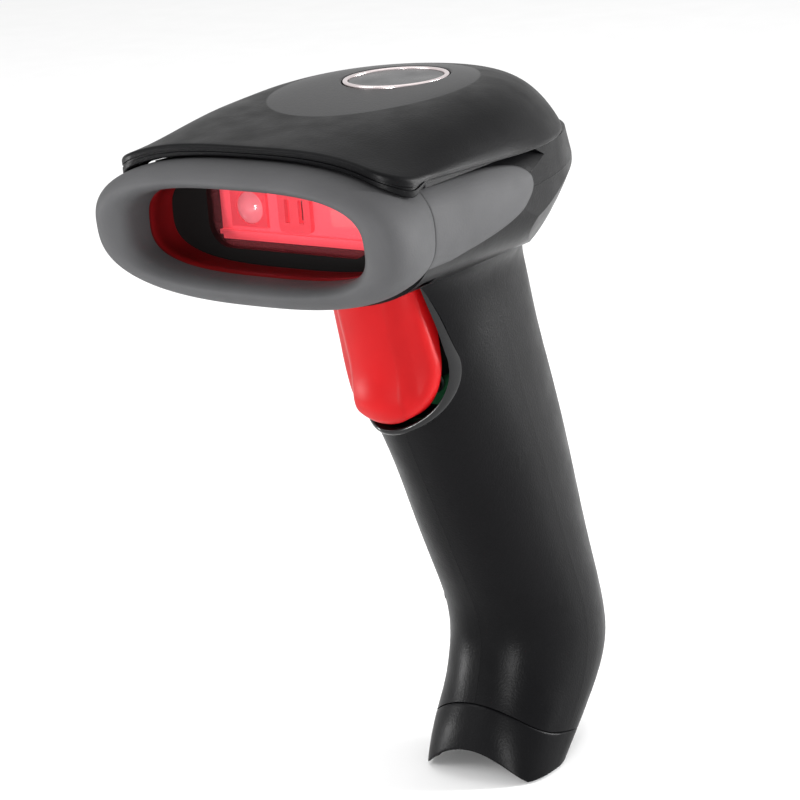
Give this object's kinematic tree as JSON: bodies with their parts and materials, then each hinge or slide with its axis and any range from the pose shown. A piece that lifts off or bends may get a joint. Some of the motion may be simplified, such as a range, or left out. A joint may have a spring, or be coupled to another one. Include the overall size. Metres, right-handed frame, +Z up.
{
  "type": "handheld barcode scanner",
  "caption": "Pistol-grip barcode scanner: hooded head with a scan mouth and rubber bumpers, pull trigger in a raised surround, hollow handle with a modular cord socket in its foot",
  "frame": {"origin": "centre of the flat rim at the foot of the handle", "axes": "+Z up the upright scanner from the foot to the head, -Y forward out of the scan mouth, +X to the left of someone looking into the mouth, which is the holder's right hand side"},
  "size_m": [0.0754, 0.1108, 0.1583],
  "materials": {
    "housing": "fine-textured satin moulding",
    "cover": "fine-textured satin moulding with a smoother patch along the top",
    "bumper_rubber": "matte overmoulded rubber",
    "badge_metal": "fine brushed ring",
    "badge_face": "plain glossy plate with no mark on it",
    "hood_plastic": "smooth, dark red",
    "mask_plastic": "matte black",
    "window": "clear, red tinted",
    "gasket": "matte",
    "carrier_red": "satin, lit pink red",
    "lens": "coated",
    "optic_black": "matte",
    "light_guide": "smooth, tinted",
    "led": "clear dome",
    "sensor": "glossy",
    "board": "green solder mask",
    "chip": "matte moulding",
    "connector": "plain moulding",
    "ribbon": "flat flexible cable",
    "screw_steel": "plated",
    "trigger_red": "satin red",
    "bezel_black": "glossy black",
    "steel": "ground and drawn steel",
    "switch_plastic": "plain moulding",
    "plunger_plastic": "plain moulding",
    "socket_plastic": "plain moulding",
    "contact_gold": "plated",
    "wire_jacket": "soft jacket"
  },
  "bodies": {
    "scanner_body": {"body_shell_right": "housing", "body_shell_left": "housing", "base_cap": "housing", "top_cover": "cover", "upper_frame": "housing", "badge_ring": "badge_metal", "badge_plate": "badge_face", "nose_bezel": "bumper_rubber", "side_bumper_right": "bumper_rubber", "side_bumper_left": "bumper_rubber", "light_hood": "hood_plastic", "optics_mask": "mask_plastic", "scan_window": "window", "window_gasket": "gasket", "optics_carrier": "carrier_red", "imaging_lens": "lens", "lens_frame": "optic_black", "lens_barrel": "optic_black", "image_sensor": "sensor", "aimer_bezel": "optic_black", "light_guide": "light_guide", "illumination_leds": "led", "engine_pcb": "board", "engine_screws": "screw_steel", "main_pcb": "board", "decoder_chip": "chip", "memory_chip": "chip", "interface_chip": "chip", "buzzer": "chip", "board_connectors": "connector", "board_screws": "screw_steel", "ribbon_cable": "ribbon", "trigger_bezel": "bezel_black", "trigger_pivot_pin": "steel", "trigger_spring": "steel", "micro_switch": "switch_plastic", "switch_pcb": "board", "cable_socket": "socket_plastic", "socket_contacts": "contact_gold", "jack_pcb": "board", "wiring_harness": "wire_jacket", "handle_screws": "screw_steel", "cover_screws": "screw_steel", "screw_plugs": "housing"},
    "trigger_lever": {"trigger": "trigger_red"},
    "plunger": {"switch_plunger": "plunger_plastic"}
  },
  "joints": [
    {"name": "trigger_hinge", "type": "hinge", "parent": "scanner_body", "child": "trigger_lever", "pos_m": [0, -0.031, 0.1144], "axis": [1, 0, 0], "range_deg": [0, 6], "stiffness_Nm_per_rad": 0.25, "springref_deg": -9.74, "deforming": ["trigger_spring"]},
    {"name": "plunger_slide", "type": "slide", "parent": "scanner_body", "child": "plunger", "axis": [0, 1, 0], "range_m": [0, 0.0017]}
  ],
  "couplings": [
    {"joint": "plunger_slide", "follows": "trigger_hinge", "m_per_rad": 0.016}
  ]
}
